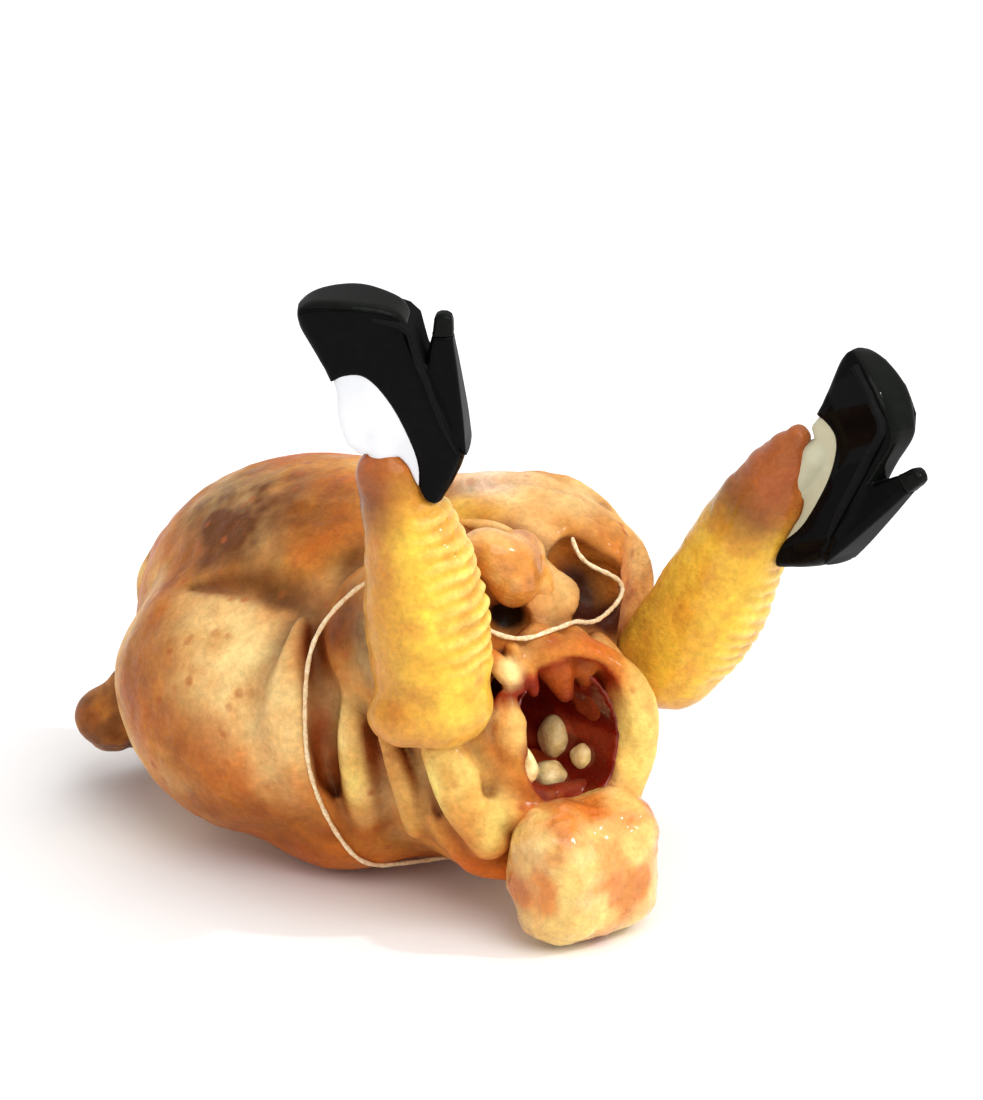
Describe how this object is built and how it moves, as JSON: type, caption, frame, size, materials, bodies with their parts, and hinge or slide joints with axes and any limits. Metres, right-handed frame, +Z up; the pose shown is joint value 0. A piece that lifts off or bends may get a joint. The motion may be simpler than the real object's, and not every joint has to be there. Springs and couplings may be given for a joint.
{
  "type": "rubber chicken stage prop",
  "caption": "Headless trussed rubber chicken lying on its back, with hinged drumsticks that wear removable high-heeled shoes.",
  "frame": {"origin": "on the rest plane, under the body's flat rest patch", "axes": "+Z up, +Y towards the neck end, +X towards the leg on the right as seen from the tail"},
  "size_m": [0.1877, 0.3101, 0.2345],
  "materials": {
    "skin": "satin",
    "skin_fat": "gloss",
    "pale_fat": "gloss",
    "cavity_red": "gloss",
    "stuffing": "matte",
    "drumstick_skin": "satin",
    "band_elastic": "satin",
    "armature_steel": "satin",
    "sleeve_brass": "satin",
    "shoe_gloss": "gloss",
    "sole_black": "matte",
    "insole_black": "matte",
    "white_insert": "matte"
  },
  "bodies": {
    "torso": {"torso_skin": "skin", "torso_core": "stuffing", "cavity_liner": "cavity_red", "tail_lobe": "skin_fat", "keel_lump": "skin_fat", "neck_flap": "skin", "truss_band": "band_elastic", "armature_crossbar": "armature_steel", "cavity_lump_long": "pale_fat", "cavity_lump_round": "pale_fat", "cavity_lump_side": "pale_fat", "cavity_lump_small": "pale_fat", "left_wing": "skin", "left_hip_bracket": "armature_steel", "left_bar_nut": "armature_steel", "right_wing": "skin", "right_hip_bracket": "armature_steel", "right_bar_nut": "armature_steel"},
    "left_leg": {"left_drumstick": "drumstick_skin", "left_leg_fork": "armature_steel", "left_leg_rod": "armature_steel", "left_knee_pin": "armature_steel", "left_knee_nut": "armature_steel"},
    "left_ankle": {"left_ankle_sleeve": "sleeve_brass"},
    "left_shoe": {"left_shoe_upper": "shoe_gloss", "left_insole": "insole_black", "left_outsole": "sole_black", "left_heel": "shoe_gloss", "left_heel_tip": "sole_black", "left_foot_insert": "white_insert"},
    "right_leg": {"right_drumstick": "drumstick_skin", "right_leg_fork": "armature_steel", "right_leg_rod": "armature_steel", "right_knee_pin": "armature_steel", "right_knee_nut": "armature_steel"},
    "right_ankle": {"right_ankle_sleeve": "sleeve_brass"},
    "right_shoe": {"right_shoe_upper": "shoe_gloss", "right_insole": "insole_black", "right_outsole": "sole_black", "right_heel": "shoe_gloss", "right_heel_tip": "sole_black", "right_foot_insert": "white_insert"}
  },
  "joints": [
    {"name": "left_knee", "type": "hinge", "parent": "torso", "child": "left_leg", "pos_m": [-0.054, -0.083, 0.092], "axis": [0.9797, 0.0099, 0.2003], "range_deg": [0, 50]},
    {"name": "left_ankle_turn", "type": "hinge", "parent": "left_leg", "child": "left_ankle", "pos_m": [-0.07034, -0.07906, 0.17175], "axis": [-0.2005, 0.0483, 0.9785], "range_deg": [-25, 25]},
    {"name": "left_shoe_off", "type": "slide", "parent": "left_ankle", "child": "left_shoe", "axis": [-0.2005, 0.0483, 0.9785], "range_m": [0, 0.05]},
    {"name": "right_knee", "type": "hinge", "parent": "torso", "child": "right_leg", "pos_m": [0.057, -0.083, 0.08], "axis": [0.9897, 0.0796, -0.1194], "range_deg": [-30, 22]},
    {"name": "right_ankle_turn", "type": "hinge", "parent": "right_leg", "child": "right_ankle", "pos_m": [0.06869, -0.12774, 0.14711], "axis": [0.1435, -0.549, 0.8234], "range_deg": [-25, 25]},
    {"name": "right_shoe_off", "type": "slide", "parent": "right_ankle", "child": "right_shoe", "axis": [0.1435, -0.549, 0.8234], "range_m": [0, 0.05]}
  ]
}
